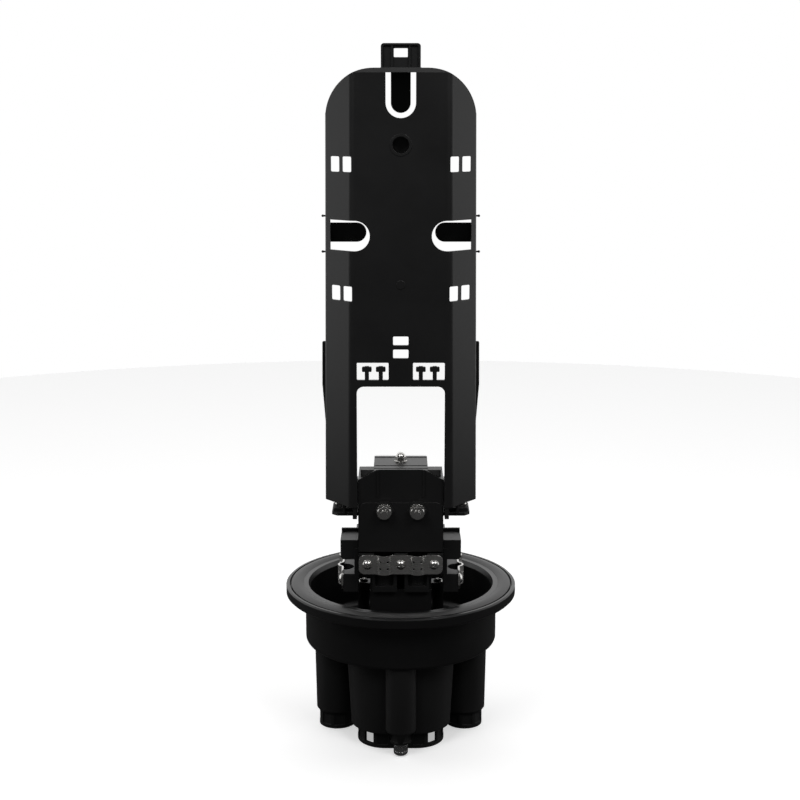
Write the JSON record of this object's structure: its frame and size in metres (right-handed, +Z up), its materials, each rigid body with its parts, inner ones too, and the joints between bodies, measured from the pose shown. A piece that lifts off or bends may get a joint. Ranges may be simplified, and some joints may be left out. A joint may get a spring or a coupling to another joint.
{
  "type": "dome splice closure",
  "caption": "Opened dome closure base for fibre cable splices: flanged cup with cable ports and an air valve, steel cable clamps, tray bracket and a tall storage frame.",
  "frame": {"origin": "on the axis of the flange and collar, in the plane of the port ends, which is the object's lowest level", "axes": "+Z up, from the port ends to the frame's catch; -Y towards the air valve and the frame's back plate, the side the picture was taken from; +X to that viewer's right"},
  "size_m": [0.19, 0.19, 0.559],
  "materials": {
    "housing_plastic": "semi-gloss moulded black",
    "frame_plastic": "satin moulded black",
    "bracket_plastic": "satin moulded black",
    "comb_plastic": "satin moulded black, ribbed",
    "seal_rubber": "smooth rubber",
    "strip_steel": "pressed stainless sheet",
    "screw_steel": "plain stainless",
    "valve_chrome": "plated",
    "valve_brass": "turned"
  },
  "bodies": {
    "closure": {"base_body": "housing_plastic", "seal_ring": "seal_rubber", "valve_stem": "valve_chrome", "valve_nut": "valve_chrome", "valve_core": "valve_brass", "cable_bracket": "bracket_plastic", "bracket_screws": "screw_steel", "clamp_strip_front": "strip_steel", "clamp_strip_left": "strip_steel", "clamp_strip_right": "strip_steel", "front_clamp_screws": "screw_steel", "left_clamp_screws": "screw_steel", "right_clamp_screws": "screw_steel", "tray_bracket": "bracket_plastic", "tray_bracket_screws": "screw_steel", "anchor_bolt_left": "screw_steel", "anchor_bolt_right": "screw_steel", "anchor_washer_left": "screw_steel", "anchor_washer_right": "screw_steel", "anchor_nut_left": "screw_steel", "anchor_nut_right": "screw_steel", "tray_comb": "comb_plastic", "comb_bolt": "screw_steel", "comb_washer": "screw_steel", "comb_nut": "screw_steel", "frame": "frame_plastic", "frame_screws": "screw_steel"},
    "valve_cap": {"valve_cap": "valve_chrome", "valve_cap_seal": "seal_rubber"},
    "valve_pin": {"valve_pin": "valve_brass"}
  },
  "joints": [
    {"name": "valve_cap_turn", "type": "hinge", "parent": "closure", "child": "valve_cap", "pos_m": [0, -0.064, 0.005], "axis": [0, 0, 1], "continuous": true},
    {"name": "valve_pin_press", "type": "slide", "parent": "closure", "child": "valve_pin", "axis": [0, 0, 1], "range_m": [0, 0.0015], "stiffness_N_per_m": 500, "springref_m": -0.001}
  ]
}
